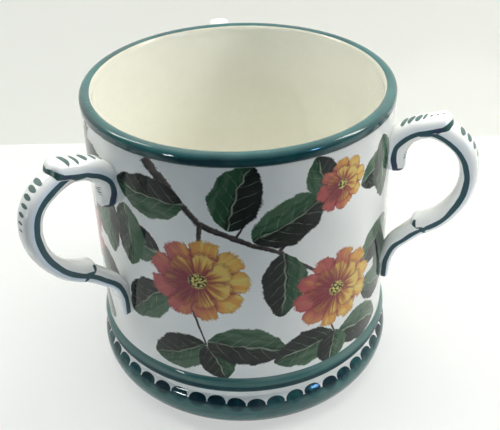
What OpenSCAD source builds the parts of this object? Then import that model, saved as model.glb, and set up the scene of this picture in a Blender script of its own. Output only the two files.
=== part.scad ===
// Three-handled loving cup in white glazed earthenware.
// The thrown wall stands in a rebate of the turned foot, the base slab closes it, the rim roll and
// the base bead are clay coils luted to it, and each handle is three lapped clay straps.
// Millimetres, +Z up. The origin is on the cup's axis, in the plane that the foot stands on.

/* [Cup body] */
// Overall height, floor to the top of the rim
cup_h = 185; // [165:1:220]
// Outer radius of the straight wall
wall_r = 87.4; // [70:0.2:105]
// Thickness of the wall
wall_t = 6.4; // [4:0.1:9]
// Thickness of the base slab
slab_t = 6; // [4:0.5:10]
// Radius of the cove where the base slab turns up into the wall
slab_cove = 9; // [3:0.5:14]

/* [Rim roll] */
// Height of the rolled rim
rim_h = 6.6; // [5:0.2:10]
// How far the rim stands out past the wall
rim_proud = 0.2; // [0.1:0.1:2]
// How far the rim's roll stands in past the wall's inner face
rim_inset = 0.3; // [0.1:0.1:2]
// Radius of the rim's rounded top
rim_round = 3.3; // [1.5:0.1:4]
// Radius of the rim's lower outer edge
rim_heel = 0.8; // [0.3:0.1:1.5]

/* [Base bead] */
// Height of the bead's lower edge above the floor
bead_z = 31.4; // [28:0.2:40]
// Height of the bead
bead_h = 10.3; // [8:0.1:16]
// How far the bead stands out past the wall
bead_proud = 2.2; // [1:0.1:3.5]
// Height of the bead's fullest point above its lower edge
bead_belly = 3.4; // [2.6:0.1:5.5]

/* [Foot] */
// Height at which the foot's shoulder runs out on the wall
foot_h = 28; // [24:0.5:31]
// Radius of the cove by which the shoulder runs out on the wall
foot_cove = 6; // [4.5:0.5:9]
// Largest radius of the foot, past the wall's
foot_proud = 3.8; // [3:0.1:7]
// Height of the foot's fullest point
foot_belly_z = 18.5; // [13:0.5:19]
// How far the foot tucks in from its fullest point to the floor
foot_tuck = 17; // [8:0.5:20]
// Width of the flat ring that the cup stands on
foot_ring_w = 7; // [4:0.5:10]
// Height of the foot's flange, which the wall and the base slab stand on
foot_flange_t = 9; // [8:0.5:13]

/* [Handles] */
// Direction of the left handle, from +X towards +Y
left_azimuth = 214; // [205:1:220]
// Direction of the right handle
right_azimuth = 336; // [325:1:340]
// Direction of the back handle
back_azimuth = 90; // [80:1:100]
// Reach of the left handle's side line from the wall
left_reach = 47.5; // [38:0.5:55]
// Reach of the right handle's side line from the wall
right_reach = 42; // [38:0.5:55]
// Reach of the back handle's side line from the wall
back_reach = 42; // [38:0.5:55]
// How much higher the left handle sits than the other two
left_lift = 1.3; // [0:0.1:3]
// Height of the rim above the end of the thumb rest's side line
lip_drop = 11.7; // [8:0.1:16]
// Height of the tail's tip above the base bead
tail_gap = 25.7; // [18:0.1:34]
// Width of the handle strap
strap_w = 13.2; // [10:0.2:16]
// Thickness of the handle strap
strap_t = 11.4; // [9:0.2:13]
// Length of the rounded tip of the tongue that lies on the wall
tongue_end = 4.6; // [2:0.1:6]
// Length of the thumb rest's rounded tip
lip_end = 4.6; // [3:0.1:7]
// Length of the grip's rounded end
grip_end = 4.2; // [2:0.1:6]
// Length of the tail's rounded tip
tail_end = 4; // [2:0.1:6]

/* [Hidden] */

white_glaze = "#f2f2ee";
cream_glaze = "#efe9d6";
green_glaze = "#2f6d66";

round_fn = 96;
// Corners of one strap section, and rings between two stations of a strap
ring_sides = 16;
ring_steps = 3;
// Power that squares up the strap's section: 1 gives an ellipse, and a smaller one fuller corners
section_ratio = 2 / 3;
// Rings of a strap's rounded end, and how far they turn
cap_steps = 3;
cap_angle = 80;

wall_in_r = wall_r - wall_t;
rim_z = cup_h - rim_h;
rim_in_r = wall_in_r - rim_inset;
rim_out_r = wall_r + rim_proud;
// The rounded top stays under half of the rim's width and height
top_ratio = 0.48;
rim_top_r = min(rim_round, top_ratio * (rim_out_r - rim_in_r), top_ratio * rim_h);
// How far round the roll goes before it runs back to the wall
roll_angle = 235;
arc_angle = 7.5;
bead_top = bead_z + bead_h;
// Radii of the arcs above and below the bead's fullest point
bead_rise = bead_h - bead_belly;
bead_upper_r = (pow(bead_rise, 2) + pow(bead_proud, 2)) / (2 * bead_proud);
bead_lower_r = (pow(bead_belly, 2) + pow(bead_proud, 2)) / (2 * bead_proud);
foot_r = wall_r + foot_proud;
// The cove meets the wall at a small angle, so that the foot's top edge isn't a knife edge
cove_angle = 18;
cove_x = wall_r + foot_cove * cos(cove_angle);
cove_z = foot_h + foot_cove * sin(cove_angle);
cove_past = cove_x - foot_r;
cove_rise = cove_z - foot_belly_z;
// Radii of the arcs above and below the foot's fullest point, which share its upright tangent there;
// the upper one runs smoothly into the cove
shoulder_arc_r = (pow(cove_past, 2) + pow(cove_rise, 2) - pow(foot_cove, 2)) / (2 * (foot_cove - cove_past));
shoulder_turn = atan2(cove_rise, shoulder_arc_r + cove_past);
tuck_arc_r = (pow(foot_belly_z, 2) + pow(foot_tuck, 2)) / (2 * foot_tuck);
foot_in_r = foot_r - foot_tuck - foot_ring_w;

// One row per handle: direction, reach and lift
LEFT = [left_azimuth, left_reach, left_lift];
RIGHT = [right_azimuth, right_reach, 0];
BACK = [back_azimuth, back_reach, 0];

tail_z = bead_top + tail_gap;
handle_h = cup_h - lip_drop - tail_z;

// Stations along the side line of each strap. A row holds the share of the handle's reach, the share
// of its height, and then the half width and the outer and inner half thickness as shares of the
// strap's own.
scroll_route = [
    [0.078, 0.728, 0.78, 0.86, 0.96],
    [0.056, 0.780, 0.88, 1.00, 1.06],
    [0.089, 0.844, 0.94, 1.38, 1.06],
    [0.184, 0.903, 0.98, 1.30, 1.00],
    [0.311, 0.942, 1.00, 1.12, 1.00],
    [0.444, 0.960, 1.03, 1.07, 1.00],
    [0.640, 0.987, 1.06, 1.03, 1.00]
];
grip_route = [
    [0.311, 0.942, 1.00, 0.90, 1.00],
    [0.444, 0.960, 1.00, 0.95, 1.00],
    [0.590, 0.951, 1.00, 1.10, 0.94],
    [0.733, 0.921, 1.00, 1.16, 0.86],
    [0.867, 0.877, 0.98, 1.14, 0.80],
    [0.962, 0.816, 0.96, 1.06, 0.78],
    [1.000, 0.741, 0.95, 1.00, 0.77],
    [0.996, 0.670, 0.95, 0.97, 0.76],
    [0.949, 0.590, 0.96, 0.95, 0.76],
    [0.856, 0.514, 0.98, 0.93, 0.78],
    [0.722, 0.441, 1.00, 0.88, 0.90],
    [0.567, 0.392, 1.02, 0.87, 1.04],
    [0.450, 0.377, 1.00, 0.88, 1.00]
];
tail_route = [
    [0.600, 0.414, 1.01, 0.88, 0.80],
    [0.567, 0.392, 1.02, 0.87, 0.80],
    [0.455, 0.362, 1.00, 0.84, 0.80],
    [0.362, 0.326, 0.98, 0.80, 0.80],
    [0.270, 0.286, 0.96, 0.76, 0.82],
    [0.185, 0.248, 0.94, 0.72, 0.86],
    [0.121, 0.204, 0.90, 0.66, 0.90],
    [0.082, 0.154, 0.85, 0.60, 0.90],
    [0.058, 0.106, 0.80, 0.54, 0.90],
    [0.050, 0.022, 0.72, 0.44, 0.90]
];
// Stations where the grip's ends are lapped: under the thumb rest, and onto the tail
upper_lap = grip_route[0];
upper_lap_end = grip_route[1];
lower_lap = grip_route[11];
lower_lap_end = grip_route[12];

// A station in millimetres, in the plane of its handle
function real(row, handle) = [
    wall_r + row[0] * handle[1],
    tail_z + row[1] * handle_h + handle[2],
    row[2] * strap_w / 2,
    row[3] * strap_t / 2,
    row[4] * strap_t / 2
];

// Smooth curve through four rows in turn, at a share of the way from the second to the third
function curve(a, b, c, d, f) =
    (2 * b + (c - a) * f + (2 * a - 5 * b + 4 * c - d) * f * f + (3 * b - a - 3 * c + d) * f * f * f) / 2;

// Row at place t of a route, which runs straight on past both ends
function at(route, t) = let (
    last = len(route) - 1,
    i = max(0, min(last - 1, floor(t))),
    before = i > 0 ? route[i - 1] : 2 * route[0] - route[1],
    after = i < last - 1 ? route[i + 2] : 2 * route[last] - route[last - 1]
) curve(before, route[i], route[i + 1], after, t - i);

function flat(v) = [v[0], v[1]];
function unit(v) = v / norm(v);
function heading(route, t) = let (
    last = len(route) - 1,
    e = 0.02
) unit(flat(at(route, min(last, t + e))) - flat(at(route, max(0, t - e))));

// Row of a rounded end: it goes on past the end while its section shrinks
function cap_row(row, dir, reach, angle) = let (
    go = flat(row) + dir * reach * sin(angle),
    k = cos(angle)
) [go[0], go[1], row[2] * k, row[3] * k, row[4] * k];

// A sine or cosine, moved out towards the corners of a strap's section
function fuller(v) = sign(v) * pow(abs(v), section_ratio);

// Section of a strap: two rounded halves that meet at the side line
function section(row, dir) = [
    for (k = [0:ring_sides - 1]) let (
        a = 360 * k / ring_sides,
        up = fuller(sin(a)),
        rise = up * (up > 0 ? row[3] : row[4])
    ) [row[0] - dir[1] * rise, row[2] * fuller(cos(a)), row[1] + dir[0] * rise]
];

// Strap swept along a route, with a rounded end of the given length, or a flat one of length 0
module strap(rows, start_cap, end_cap) {
    last = len(rows) - 1;
    head = heading(rows, 0);
    tail = heading(rows, last);
    rings = concat(
        start_cap == 0 ? [] : [for (i = [cap_steps:-1:1])
            section(cap_row(rows[0], -head, start_cap, cap_angle * i / cap_steps), head)],
        [for (i = [0:last * ring_steps]) let (t = i / ring_steps) section(at(rows, t), heading(rows, t))],
        end_cap == 0 ? [] : [for (i = [1:cap_steps])
            section(cap_row(rows[last], tail, end_cap, cap_angle * i / cap_steps), tail)]
    );
    n = ring_sides;
    count = len(rings);
    polyhedron(
        points = [for (ring = rings) each ring],
        faces = concat(
            [[for (k = [0:n - 1]) k]],
            [for (r = [0:count - 2]) for (k = [0:n - 1]) let (a = r * n, b = a + n, j = (k + 1) % n)
                each [[a + k, b + k, a + j], [a + j, b + k, b + j]]],
            [[for (k = [n - 1:-1:0]) (count - 1) * n + k]]
        )
    );
}

// Block set at a lap joint, in the handle's plane: s runs along the lap from its start, and n is square
// to it, towards the strap's outer face
module lap_block(start, end, s0, s1, n0, n1) {
    dir = unit(flat(end) - flat(start));
    translate([start[0], 0, start[1]])
        rotate([0, -atan2(dir[1], dir[0]), 0])
            translate([s0, -2 * strap_w, n0])
                cube([s1 - s0, 4 * strap_w, n1 - n0]);
}

// The space that the wall takes, and the cup inside it
module wall_core() {
    cylinder(r = wall_r, h = 2 * cup_h, center = true, $fn = round_fn);
}

module set_handle(handle) {
    rotate([0, 0, handle[0]]) children();
}

function rows_of(route, handle) = [for (row = route) real(row, handle)];

// Tongue on the wall, rising into the thumb rest
module handle_scroll(handle) {
    a = real(upper_lap, handle);
    b = real(upper_lap_end, handle);
    far = 2 * handle[1];
    color(white_glaze) set_handle(handle) difference() {
        strap(rows_of(scroll_route, handle), tongue_end, lip_end);
        wall_core();
        lap_block(a, b, 0, far, -2 * strap_t, 0);
    }
}

// Loop for the fingers, from under the thumb rest to its rounded end on the tail
module handle_grip(handle) {
    a = real(upper_lap, handle);
    b = real(upper_lap_end, handle);
    c = real(lower_lap, handle);
    d = real(lower_lap_end, handle);
    far = 2 * handle[1];
    color(white_glaze) set_handle(handle) difference() {
        strap(rows_of(grip_route, handle), 0, grip_end);
        lap_block(a, b, -strap_t, far, 0, 2 * strap_t);
        lap_block(a, b, -strap_t, 0, -2 * strap_t, 0);
        lap_block(c, d, 0, far, 0, 2 * strap_t);
    }
}

// Strap from under the grip's end down to the wall
module handle_tail(handle) {
    c = real(lower_lap, handle);
    d = real(lower_lap_end, handle);
    far = 2 * handle[1];
    color(white_glaze) set_handle(handle) difference() {
        strap(rows_of(tail_route, handle), 0, tail_end);
        wall_core();
        lap_block(c, d, -2 * strap_t, far, -2 * strap_t, 0);
        lap_block(c, d, -2 * strap_t, 0, 0, 2 * strap_t);
    }
}

// Straight thrown wall, from the foot's flange to the rim
module cup_wall() {
    color(white_glaze) rotate_extrude($fn = round_fn)
        translate([wall_in_r, foot_flange_t])
            square([wall_t, rim_z - foot_flange_t]);
}

// Slab that closes the wall, with a cove round its upper face
module base_slab() {
    slab_top = foot_flange_t + slab_t;
    color(cream_glaze) rotate_extrude($fn = round_fn) {
        translate([0, foot_flange_t]) square([wall_in_r, slab_t]);
        difference() {
            translate([wall_in_r - slab_cove, slab_top]) square(slab_cove);
            translate([wall_in_r - slab_cove, slab_top + slab_cove]) circle(slab_cove);
        }
    }
}

// Points of an arc round (x, y), from the given one of them on
function arc(x, y, r, from, to, first = 0) = let (
    steps = ceil(abs(to - from) / arc_angle)
) [for (i = [first:steps]) let (a = from + (to - from) * i / steps) [x + r * cos(a), y + r * sin(a)]];

// Rolled rim that stands on the wall's top edge: flush outside, round on top, and standing in past the wall
module rim_roll() {
    color(green_glaze) rotate_extrude($fn = round_fn) polygon(concat(
        arc(rim_out_r - rim_heel, rim_z + rim_heel, rim_heel, -90, 0),
        arc(rim_out_r - rim_top_r, cup_h - rim_top_r, rim_top_r, 0, 90),
        arc(rim_in_r + rim_top_r, cup_h - rim_top_r, rim_top_r, 90, roll_angle),
        [[wall_in_r, rim_z]]
    ));
}

// Coil round the lower wall, fullest below its middle
module base_bead() {
    x = wall_r + bead_proud;
    y = bead_z + bead_belly;
    color(green_glaze) rotate_extrude($fn = round_fn) polygon(concat(
        arc(x - bead_lower_r, y, bead_lower_r, -2 * atan(bead_proud / bead_belly), 0),
        arc(x - bead_upper_r, y, bead_upper_r, 0, 2 * atan(bead_proud / bead_rise), 1)
    ));
}

// Turned foot: a full round that runs out on the wall in a cove, a flange under it and a recess in the middle
module foot_plinth() {
    color(green_glaze) {
        rotate_extrude($fn = round_fn) polygon(concat(
            [[wall_r, foot_belly_z]],
            arc(foot_r - shoulder_arc_r, foot_belly_z, shoulder_arc_r, 0, shoulder_turn),
            arc(cove_x, cove_z, foot_cove, 180 + shoulder_turn, 180 + cove_angle, 1)
        ));
        rotate_extrude($fn = round_fn) difference() {
            translate([foot_in_r, 0]) square([foot_r - foot_in_r, foot_belly_z]);
            difference() {
                translate([foot_r - foot_tuck, 0]) square([foot_tuck, foot_belly_z]);
                translate([foot_r - tuck_arc_r, foot_belly_z]) circle(tuck_arc_r);
            }
            translate([0, foot_flange_t]) square([wall_r, foot_h]);
        }
    }
}

cup_wall();
base_slab();
rim_roll();
base_bead();
foot_plinth();
handle_scroll(LEFT);  // left_scroll
handle_grip(LEFT);  // left_grip
handle_tail(LEFT);  // left_tail
handle_scroll(RIGHT);  // right_scroll
handle_grip(RIGHT);  // right_grip
handle_tail(RIGHT);  // right_tail
handle_scroll(BACK);  // back_scroll
handle_grip(BACK);  // back_grip
handle_tail(BACK);  // back_tail
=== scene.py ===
"""Three-handled pottery loving cup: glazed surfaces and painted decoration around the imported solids."""
import math

import bpy
from bpy.props import FloatProperty, FloatVectorProperty, IntProperty, PointerProperty
from mathutils import Matrix, Vector


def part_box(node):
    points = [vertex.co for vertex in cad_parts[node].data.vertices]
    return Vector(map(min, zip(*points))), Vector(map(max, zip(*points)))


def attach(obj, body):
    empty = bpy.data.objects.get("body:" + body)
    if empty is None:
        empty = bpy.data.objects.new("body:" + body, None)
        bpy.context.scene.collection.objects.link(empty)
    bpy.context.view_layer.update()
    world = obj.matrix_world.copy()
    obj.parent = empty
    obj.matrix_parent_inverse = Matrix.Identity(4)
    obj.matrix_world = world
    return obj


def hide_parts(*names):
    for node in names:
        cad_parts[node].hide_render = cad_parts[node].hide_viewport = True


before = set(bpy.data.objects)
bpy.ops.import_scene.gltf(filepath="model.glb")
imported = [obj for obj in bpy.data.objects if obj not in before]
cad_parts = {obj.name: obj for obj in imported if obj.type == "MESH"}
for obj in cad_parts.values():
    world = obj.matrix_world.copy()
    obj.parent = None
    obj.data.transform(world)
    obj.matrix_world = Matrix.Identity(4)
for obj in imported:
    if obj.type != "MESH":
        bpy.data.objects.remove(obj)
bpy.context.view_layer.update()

bl_info = {
    "name": "Loving cup",
    "version": (1, 0, 0),
    "blender": (4, 5, 0),
    "location": "3D View > Sidebar > Cup",
    "description": "Builds a three-handled glazed pottery cup with brushed and painted decoration",
    "category": "Object",
}

BODY = "root"
MM = 0.001

# Sizes read from the solids
WALL_LOW, WALL_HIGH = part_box("cup_wall")
SLAB_LOW, SLAB_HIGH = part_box("base_slab")
RIM_LOW, RIM_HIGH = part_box("rim_roll")
BEAD_LOW, BEAD_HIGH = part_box("base_bead")
FOOT_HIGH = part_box("foot_plinth")[1]


def screen(red, green, blue):
    """A colour written as on a screen, 0 to 255, turned into Blender's linear values."""
    def linear(part):
        part /= 255
        return part / 12.92 if part <= 0.04045 else ((part + 0.055) / 1.055) ** 2.4
    return tuple(linear(part) for part in (red, green, blue))


def length(name, description, default):
    """A size in metres that a user may change."""
    return FloatProperty(name=name, description=description, default=default, min=0, soft_max=0.3,
                         precision=5, subtype="DISTANCE", unit="LENGTH")


def colour(name, description, *default):
    """A colour that a user may change, written as on a screen."""
    return FloatVectorProperty(name=name, description=description, default=screen(*default), size=3,
                               min=0, max=1, subtype="COLOR")


class CupSizes(bpy.types.PropertyGroup):
    """Sizes of the cup that the eye can judge, taken from the solids where they hold them."""
    wall_radius: length("Wall radius", "Outer radius of the straight wall", WALL_HIGH.x)
    inner_radius: length("Inner radius", "Inner radius of the wall", SLAB_HIGH.x)
    cove_radius: length("Cove radius", "Round where the floor of the cup turns up into the wall", 0.009)
    slab_thickness: length("Slab thickness", "Thickness of the base slab", 0.006)
    rim_inset: length("Rim inset", "How far the rim's roll stands in past the wall's inner face", 0.0003)
    rim_round: length("Rim round", "Radius of the rim's rounded top", 0.0033)
    rim_heel: length("Rim heel", "Radius of the rim's lower outer edge", 0.0008)
    bead_belly: length("Bead belly", "Height of the bead's fullest point above its lower edge", 0.0034)
    foot_belly: length("Foot belly", "Height of the foot's fullest point", 0.0185)
    foot_tuck: length("Foot tuck", "How far the foot draws in from its fullest point", 0.017)
    foot_cove: length("Foot cove", "Radius of the cove by which the foot runs out on the wall", 0.006)
    foot_ring: length("Foot ring", "Width of the flat ring that the cup stands on", 0.007)
    strap_width: length("Strap width", "Width of the handle strap", 0.0132)
    strap_thickness: length("Strap thickness", "Thickness of the handle strap", 0.0114)
    left_reach: length("Left reach", "Reach of the left handle from the wall", 0.0475)
    right_reach: length("Right reach", "Reach of the right handle from the wall", 0.042)
    back_reach: length("Back reach", "Reach of the back handle from the wall", 0.042)
    left_lift: length("Left lift", "How much higher the left handle sits than the others", 0.0013)
    tail_height: length("Tail height", "Height of the tip of a handle's tail", 0.0674)
    handle_height: length("Handle height", "Height of a handle from its tail to its thumb rest", 0.1059)
    dabs: IntProperty(name="Dabs", description="Round brush dabs on the foot", default=49, min=8, max=90)


class GlazeColours(bpy.types.PropertyGroup):
    """Colours of the glazes and of the brushwork."""
    white: colour("White glaze", "Glaze of the wall", 233, 234, 232)
    # The handles take the wall's white glaze painted lighter, a painted light that brightens their shaded
    # sides
    handle_white: colour("Handle glaze", "Glaze of the handles", 242, 243, 240)
    cream: colour("Cream glaze", "Glaze inside the cup", 245, 244, 233)
    green: colour("Green glaze", "Brushed bands on rim, bead and foot", 34, 98, 98)
    # Deep and thin green stand for thick and thin glaze, and on rim and bead also for painted shade and
    # painted sheen
    deep_green: colour("Deep green", "Where the green glaze lies thick", 8, 56, 64)
    thin_green: colour("Thin green", "Where the green glaze runs thin", 118, 139, 134)
    lip: colour("Lip glaze", "Cream glaze where it is wiped thin inside the rim", 214, 212, 196)
    navy: colour("Dab", "Brush dabs on the foot", 6, 38, 50)
    line: colour("Handle line", "Line along the sides of the handles", 14, 70, 80)
    line_ends: colour("Handle line, ends", "Where the handle line is pooled at its ends", 10, 42, 72)
    dash: colour("Handle dashes", "Dashes on the crest of the handles", 40, 84, 78)
    halo: colour("Line halo", "Tint that bleeds from the handle line", 178, 206, 236)
    leaf_dark: colour("Leaf, dark", "Dark half of a painted leaf", 5, 20, 14)
    leaf_mid: colour("Leaf, green", "Green half of a painted leaf", 26, 72, 44)
    leaf_pale: colour("Leaf, pale", "Thinly painted part of a leaf", 78, 106, 82)
    vein: colour("Leaf veins", "Fine pale veins of a leaf", 150, 164, 142)
    rose: colour("Rose", "Red part of a blossom", 178, 84, 84)
    crimson: colour("Crimson", "Deepest red of a blossom", 128, 40, 56)
    gold: colour("Gold", "Golden part of a blossom", 218, 160, 74)
    straw: colour("Straw", "Palest yellow of a blossom", 222, 204, 112)
    bark: colour("Stem", "Painted stems", 74, 66, 62)
    bark_dark: colour("Stem, dark", "Shaded side of the stems", 34, 30, 30)


# Node trees


class Wire:
    """An output of a node tree that can be reckoned with like a number."""

    def __init__(self, bench, socket):
        self.bench = bench
        self.socket = socket

    def op(self, operation, *others):
        """What a Math node makes of this value and others."""
        node = self.bench.node("Math", self, *others, operation=operation)
        return Wire(self.bench, node.outputs[0])

    def __add__(self, other):
        return self.op("ADD", other)

    def __sub__(self, other):
        return self.op("SUBTRACT", other)

    def __mul__(self, other):
        return self.op("MULTIPLY", other)

    def __truediv__(self, other):
        return self.op("DIVIDE", other)

    def __abs__(self):
        return self.op("ABSOLUTE")

    def less(self, number):
        """A number less this one."""
        return (self * -1) + number

    def clamp(self):
        """This value, held between 0 and 1."""
        node = self.bench.node("Clamp", self)
        return Wire(self.bench, node.outputs[0])

    def ease(self, low, high):
        """Smooth step from 0 at low to 1 at high."""
        node = self.bench.node("MapRange", self, low, high, 0.0, 1.0, interpolation_type="SMOOTHSTEP")
        return Wire(self.bench, node.outputs[0])

    def within(self, low, high, soft):
        """1 between low and high, with soft ends."""
        return self.ease(low - soft, low + soft) * self.ease(high + soft, high - soft)


# Sockets of a Mix node that hold its two colours and their mixture
MIX_FIRST = 6
MIX_SECOND = 7
MIX_RESULT = 2


class Bench:
    """Places nodes in one tree and wires them up."""

    def __init__(self, tree):
        self.tree = tree

    def node(self, kind, *values, **settings):
        """Adds a node, with values for its first inputs and its settings by name."""
        made = self.tree.nodes.new("ShaderNode" + kind)
        for key, value in settings.items():
            setattr(made, key, value)
        for socket, value in zip(made.inputs, values):
            self.feed(socket, value)
        return made

    def feed(self, socket, value):
        """Gives a socket a wire or a fixed value."""
        if value is None:
            return
        if isinstance(value, Wire):
            value = value.socket
        if isinstance(value, bpy.types.NodeSocket):
            self.tree.links.new(value, socket)
        elif socket.type == "RGBA" and len(value) == 3:
            socket.default_value = (*value, 1)
        else:
            socket.default_value = value

    def wire(self, node, output=0):
        """One output of a node, by its number or name."""
        return Wire(self, node.outputs[output])

    def split(self, vector):
        """The three parts of a vector."""
        node = self.node("SeparateXYZ", vector)
        return [Wire(self, out) for out in node.outputs]

    def join(self, x=0.0, y=0.0, z=0.0):
        """A vector made of three parts."""
        return self.wire(self.node("CombineXYZ", x, y, z))

    def stretch(self, vector, x, y, z):
        """A vector with its parts scaled one by one."""
        return self.wire(self.node("VectorMath", vector, (x, y, z), operation="MULTIPLY"))

    def noise(self, vector, scale, detail=2.0, rough=0.5):
        """Soft noise about one half."""
        node = self.node("TexNoise")
        self.feed(node.inputs["Vector"], vector)
        node.inputs["Scale"].default_value = scale
        node.inputs["Detail"].default_value = detail
        node.inputs["Roughness"].default_value = rough
        return self.wire(node)

    def mix(self, share, first, second):
        """A colour between two, by the share of the second."""
        node = self.node("Mix", data_type="RGBA")
        self.feed(node.inputs[0], share)
        self.feed(node.inputs[MIX_FIRST], first)
        self.feed(node.inputs[MIX_SECOND], second)
        return self.wire(node, MIX_RESULT)

    def group(self, tree, **values):
        """Places a group, with its inputs by name."""
        node = self.node("Group", node_tree=tree)
        for name, value in values.items():
            self.feed(node.inputs[name], value)
        return node

    def object_place(self):
        """Where a spot lies on its piece, in metres."""
        return self.wire(self.node("TexCoord"), "Object")


SOCKETS = {"value": "NodeSocketFloat", "vector": "NodeSocketVector", "colour": "NodeSocketColor"}


def new_group(name, inputs, outputs):
    """An empty shader group; gives its bench, its inputs by name and its output node."""
    tree = bpy.data.node_groups.new(name, "ShaderNodeTree")
    for label, kind in inputs.items():
        tree.interface.new_socket(name=label, in_out="INPUT", socket_type=SOCKETS[kind])
    for label, kind in outputs.items():
        tree.interface.new_socket(name=label, in_out="OUTPUT", socket_type=SOCKETS[kind])
    bench = Bench(tree)
    start = tree.nodes.new("NodeGroupInput")
    end = tree.nodes.new("NodeGroupOutput")
    given = {label: Wire(bench, start.outputs[label]) for label in inputs}
    return bench, given, end


def once(make):
    """Builds a group the first time that it is asked for."""
    def get():
        name = make.__name__
        if name not in bpy.data.node_groups:
            make(name)
        return bpy.data.node_groups[name]
    return get


# Grain of a glaze, per metre: its slow swell, its fine ripple and its pinholes
SWELL_GRAIN = 26
RIPPLE_GRAIN = 150
PINHOLE_GRAIN = 900
# How far the ripple rises and a pinhole sinks, against the swell
RIPPLE_RISE = 0.05
PINHOLE_DEPTH = 0.12
# Roughness of a smooth glaze, and what its ripple and pinholes add
GLAZE_ROUGHNESS = 0.05
RIPPLE_ROUGHNESS = 0.08
PINHOLE_ROUGHNESS = 0.3


@once
def glaze_skin(name):
    """Slow swell of a hand-dipped glaze, with fine ripple, a few pinholes and a faint mottle."""
    bench, given, end = new_group(name, {"Spot": "vector", "Swell": "value", "Pinholes": "value"},
                                  {"Mottle": "value", "Roughness": "value", "Height": "value"})
    swell = bench.noise(given["Spot"], SWELL_GRAIN, 1)
    ripple = bench.noise(given["Spot"], RIPPLE_GRAIN, 3)
    pits = bench.noise(given["Spot"], PINHOLE_GRAIN, 0).ease(0.74, 0.8) * given["Pinholes"]
    height = swell * given["Swell"] + ripple * RIPPLE_RISE - pits * PINHOLE_DEPTH
    roughness = ripple * RIPPLE_ROUGHNESS + pits * PINHOLE_ROUGHNESS + GLAZE_ROUGHNESS
    bench.feed(end.inputs["Mottle"], swell * 0.6 + ripple * 0.4)
    bench.feed(end.inputs["Roughness"], roughness)
    bench.feed(end.inputs["Height"], height)


@once
def round_place(name):
    """Where a spot lies round the cup: turn from the front in radians, height and radius in millimetres."""
    bench, given, end = new_group(name, {"Spot": "vector"},
                                  {"Turn": "value", "Height": "value", "Radius": "value"})
    x, y, z = bench.split(given["Spot"])
    bench.feed(end.inputs["Turn"], x.op("ARCTAN2", y * -1))
    bench.feed(end.inputs["Height"], z * (1 / MM))
    bench.feed(end.inputs["Radius"], (x * x + y * y).op("SQRT") * (1 / MM))


# Grain of brushed green, per metre, on the cup's three axes, and of its cloudy patches
STREAK_GRAIN = (14, 14, 420)
PATCH_GRAIN = 34


@once
def brushed_green(name):
    """Green glaze laid on with a brush as the pot turns: streaks round the cup; Thin lightens it as thin
    glaze, and on rim and bead also as painted sheen, and below zero darkens it as pooled glaze and painted
    shade.
    """
    tones = bpy.context.scene.glaze_colours
    bench, given, end = new_group(name, {"Spot": "vector", "Thin": "value"}, {"Colour": "colour"})
    streak = bench.noise(bench.stretch(given["Spot"], *STREAK_GRAIN), 1, detail=3, rough=0.6)
    patch = bench.noise(given["Spot"], PATCH_GRAIN, 2)
    thick = streak * 0.7 + patch * 0.5 - given["Thin"] * 0.35
    body = bench.mix(thick.ease(0.4, 0.72), tones.green, tones.deep_green)
    thinned = bench.mix(given["Thin"] * streak.ease(0.25, 0.7), body, tones.thin_green)
    bench.feed(end.inputs["Colour"], thinned)


def new_mark(name, *values):
    """An empty group for one brush mark; gives also the place in the mark and the hand's unsteadiness."""
    inputs = {"Under": "colour", "Spot": "vector", "Hand": "vector", "Root": "vector", "Turn": "vector",
              "Size": "vector"}
    inputs.update({label: "value" for label in values})
    bench, given, end = new_group(name, inputs, {"Paint": "colour", "Next": "vector"})
    place = bench.node("Mapping", given["Spot"], given["Root"], given["Turn"], given["Size"],
                       vector_type="TEXTURE")
    return bench, given, end, bench.split(place.outputs[0]), bench.split(given["Hand"])


# A shift that no eye sees, in millimetres
HAND_ON = 0.00001


def lay(bench, end, given, cover, body):
    """Lays one mark over the paint below it, and hands its place on, so that marks are worked one by one."""
    bench.feed(end.inputs["Paint"], bench.mix(cover, given["Under"], body))
    moved = bench.node("VectorMath", given["Spot"], cover * HAND_ON, operation="ADD")
    bench.feed(end.inputs["Next"], moved.outputs[0])


# How sharp the edges of leaves, petals, stems, midribs and side veins are
LEAF_EDGE = 16
PETAL_EDGE = 20
STEM_EDGE = 4
RIB_EDGE = 24
VEIN_EDGE = 22
# A leaf: how full its outline is, half the breadth of its midrib and veins against its own half width, how
# many side veins lie along it and how far they lean
LEAF_FULLNESS = 0.68
RIB_HALF = 0.05
SIDE_VEINS = 5.5
VEIN_LEAN = 1.7


@once
def painted_leaf(name):
    """One leaf in brushwork: a dark and a green half, a pale midrib with side veins, and an uneven edge."""
    tones = bpy.context.scene.glaze_colours
    bench, given, end, (t, side, _), (wobble, teeth, _) = new_mark(name, "Bend", "Tone")
    y = side + (t * t - t) * given["Bend"] + wobble * 0.3
    arch = t.op("MAXIMUM", 0.0) * t.less(1).op("MAXIMUM", 0.0) * 4
    half = arch.op("POWER", LEAF_FULLNESS) * (t * -0.22 + 1.1)
    cover = ((half - abs(y) + teeth * 0.16) * LEAF_EDGE).clamp() * half.ease(0, 0.08)
    streak = bench.noise(bench.join(t * 3, y * 5, given["Tone"] * 17), 1, detail=3, rough=0.6)
    lit = y * 3 + (streak - 0.5) * 2.2 + given["Tone"] - 0.5
    body = bench.mix(lit.ease(-0.3, 0.5), tones.leaf_dark, tones.leaf_mid)
    body = bench.mix((streak + given["Tone"] * 0.55 + y * 0.3).ease(0.7, 1.05) * 0.85, body, tones.leaf_pale)
    rib = (abs(y).less(RIB_HALF) * RIB_EDGE).clamp() * 0.8
    row = (t * SIDE_VEINS - abs(y) * VEIN_LEAN).op("FRACT")
    side_veins = (abs(row - 0.5).less(RIB_HALF) * VEIN_EDGE).clamp() * abs(y).ease(0.9, 0.3) * 0.45
    fine = rib.op("MAXIMUM", side_veins) * t.ease(1.0, 0.75) * streak.ease(0.25, 0.6)
    body = bench.mix(fine, body, tones.vein)
    lay(bench, end, given, cover, body)


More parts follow.
